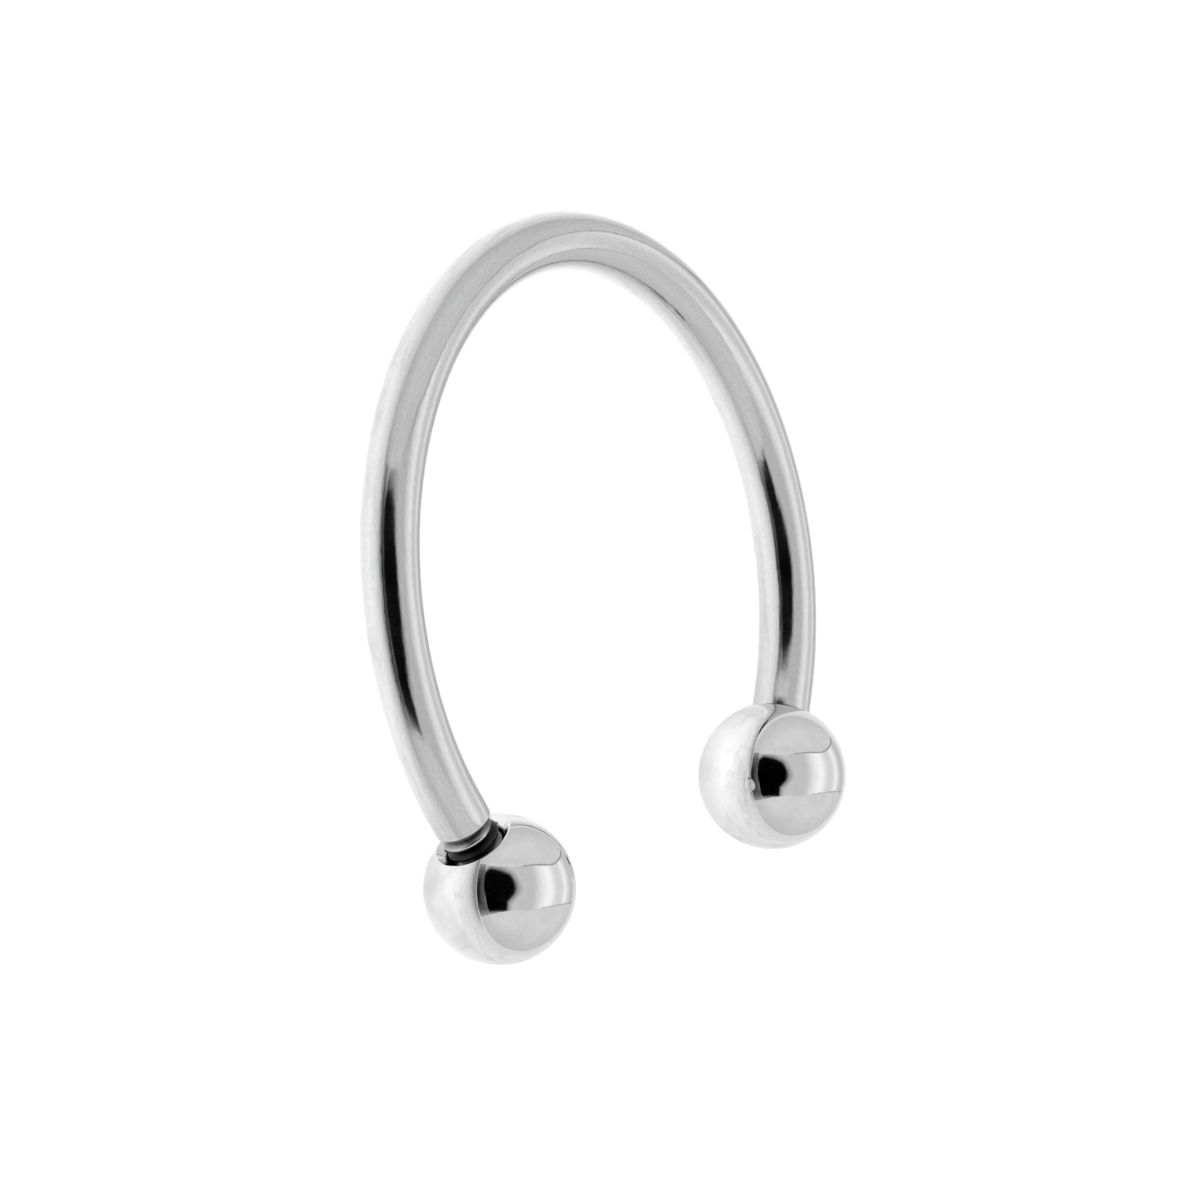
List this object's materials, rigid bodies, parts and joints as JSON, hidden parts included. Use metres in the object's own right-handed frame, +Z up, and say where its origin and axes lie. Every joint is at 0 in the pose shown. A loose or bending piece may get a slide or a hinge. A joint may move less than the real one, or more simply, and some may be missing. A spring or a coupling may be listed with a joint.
{
  "type": "horseshoe barbell",
  "caption": "Open ring of round steel wire lying on its side, with a ball screwed on each threaded end, to be worn through a piercing.",
  "frame": {"origin": "middle of the outline seen from above, on the surface that the jewel lies on", "axes": "+Z up, through the open ring; +Y from the gap between the balls to the crown of the bend; +X to the ball that is screwed home"},
  "size_m": [0.015, 0.0144, 0.003],
  "materials": {
    "bar_steel": "polished surgical steel, drawn and bent wire with a faint ripple",
    "ball_steel": "mirror-polished surgical steel"
  },
  "bodies": {
    "bar": {"bar": "bar_steel"},
    "left_ball": {"left_ball": "ball_steel"},
    "right_ball": {"right_ball": "ball_steel"}
  },
  "joints": [
    {"name": "left_ball_unscrews", "type": "slide", "parent": "bar", "child": "left_ball", "axis": [0.4923, -0.8678, 0.0677], "range_m": [-0.00038, 0.00187]},
    {"name": "right_ball_unscrews", "type": "slide", "parent": "bar", "child": "right_ball", "axis": [-0.4925, -0.8679, 0.0652], "range_m": [0, 0.00225]}
  ]
}
